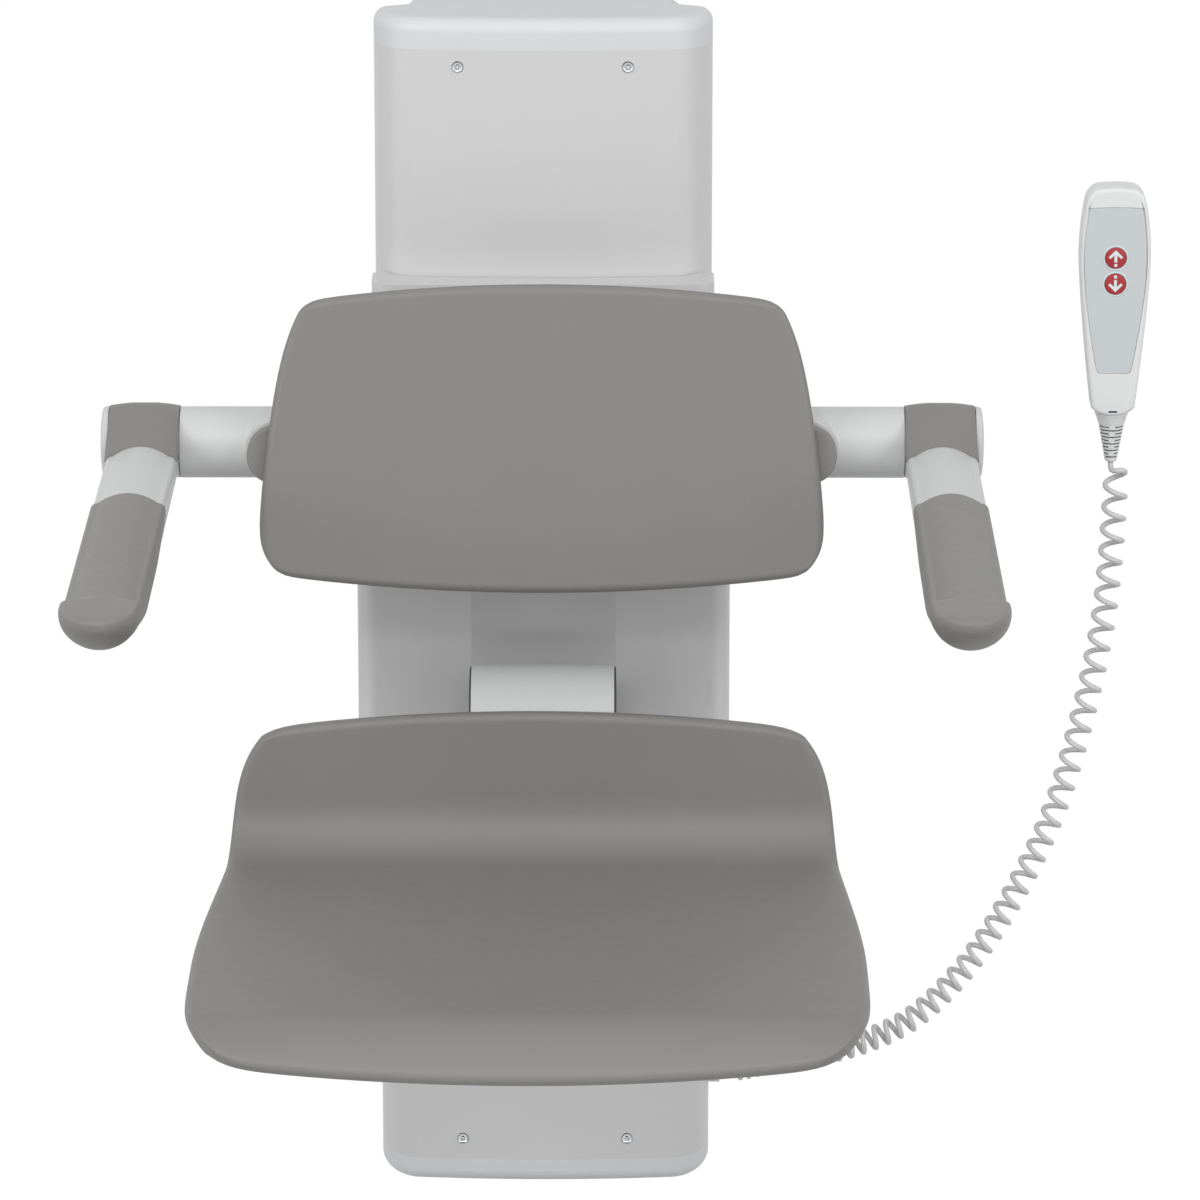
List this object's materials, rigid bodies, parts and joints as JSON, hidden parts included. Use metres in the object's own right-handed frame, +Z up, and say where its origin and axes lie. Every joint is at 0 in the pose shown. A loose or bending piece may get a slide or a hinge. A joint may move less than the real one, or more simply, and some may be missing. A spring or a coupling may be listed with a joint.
{
  "type": "shower seat",
  "caption": "Wall-hung powered shower seat: flat column with lifting carriage, folding moulded seat, backrest on a cross tube, fold-up armrests, handset on a curly cord.",
  "frame": {"origin": "on the wall's face, in the middle of the four wall bolts, which is the middle of the column's width and height", "axes": "+Z up along the column, +X to the right as seen from the front, +Y into the wall, so the seat reaches out along -Y"},
  "size_m": [0.7427, 0.655, 0.865],
  "materials": {
    "column_grey": "satin light silver-grey coating",
    "cap_grey": "smooth light grey moulding",
    "anodised": "satin anodised",
    "inner_steel": "zinc-plated",
    "screw_steel": "bright",
    "soft_grey": "fine-textured warm grey skin",
    "drive_black": "moulded",
    "bearing_white": "low-friction plastic",
    "handset_white": "fine satin",
    "foil_blue_grey": "printed film",
    "button_red": "satin film with a white arrow",
    "cord_grey": "smooth sheath"
  },
  "bodies": {
    "column": {"wall_rail": "anodised", "cover_posts": "inner_steel", "column_cover": "column_grey", "top_cap": "cap_grey", "bottom_cap": "cap_grey", "cover_screws": "screw_steel", "actuator_motor": "drive_black", "actuator_tube": "anodised", "control_box": "drive_black", "cord_gland": "cap_grey", "handset_holder": "handset_white", "curly_cord": "cord_grey"},
    "carriage": {"carriage_frame": "inner_steel", "drive_bar": "inner_steel", "actuator_rod": "inner_steel", "slide_pads": "bearing_white", "carriage_cover": "column_grey", "hinge_bracket": "inner_steel", "hinge_pin": "inner_steel", "tube_cradle": "inner_steel", "cross_tube": "anodised", "tube_saddle": "anodised", "arm_axles": "inner_steel", "arm_end_discs": "anodised", "backrest_carrier": "soft_grey", "backrest": "soft_grey"},
    "seat": {"seat_bracket": "anodised", "hinge_bushes": "bearing_white", "hinge_shroud": "anodised", "seat_shell": "soft_grey", "seat_screws": "screw_steel"},
    "left_armrest": {"left_arm_bar": "anodised", "left_arm_cover": "soft_grey", "left_arm_pad": "soft_grey"},
    "right_armrest": {"right_arm_bar": "anodised", "right_arm_cover": "soft_grey", "right_arm_pad": "soft_grey"},
    "handset": {"handset_back": "handset_white", "handset_front": "handset_white", "handset_foil": "foil_blue_grey", "strain_relief": "cap_grey"},
    "up_button": {"button_up": "button_red"},
    "down_button": {"button_down": "button_red"}
  },
  "joints": [
    {"name": "lift", "type": "slide", "parent": "column", "child": "carriage", "axis": [0, 0, 1], "range_m": [-0.145, 0.155]},
    {"name": "seat_fold", "type": "hinge", "parent": "carriage", "child": "seat", "pos_m": [0, -0.152, -0.06], "axis": [-1, 0, 0], "range_deg": [0, 88]},
    {"name": "left_armrest_fold", "type": "hinge", "parent": "carriage", "child": "left_armrest", "pos_m": [-0.2785, -0.151, 0.1455], "axis": [-1, 0, 0], "range_deg": [0, 90]},
    {"name": "right_armrest_fold", "type": "hinge", "parent": "carriage", "child": "right_armrest", "pos_m": [0.2785, -0.151, 0.1455], "axis": [-1, 0, 0], "range_deg": [0, 90]},
    {"name": "handset_lift_off", "type": "slide", "parent": "column", "child": "handset", "axis": [0, 0, 1], "range_m": [0, 0.024]},
    {"name": "up_press", "type": "slide", "parent": "handset", "child": "up_button", "axis": [0, 1, 0], "range_m": [0, 0.0008], "stiffness_N_per_m": 900, "springref_m": -0.001},
    {"name": "down_press", "type": "slide", "parent": "handset", "child": "down_button", "axis": [0, 1, 0], "range_m": [0, 0.0008], "stiffness_N_per_m": 900, "springref_m": -0.001}
  ]
}
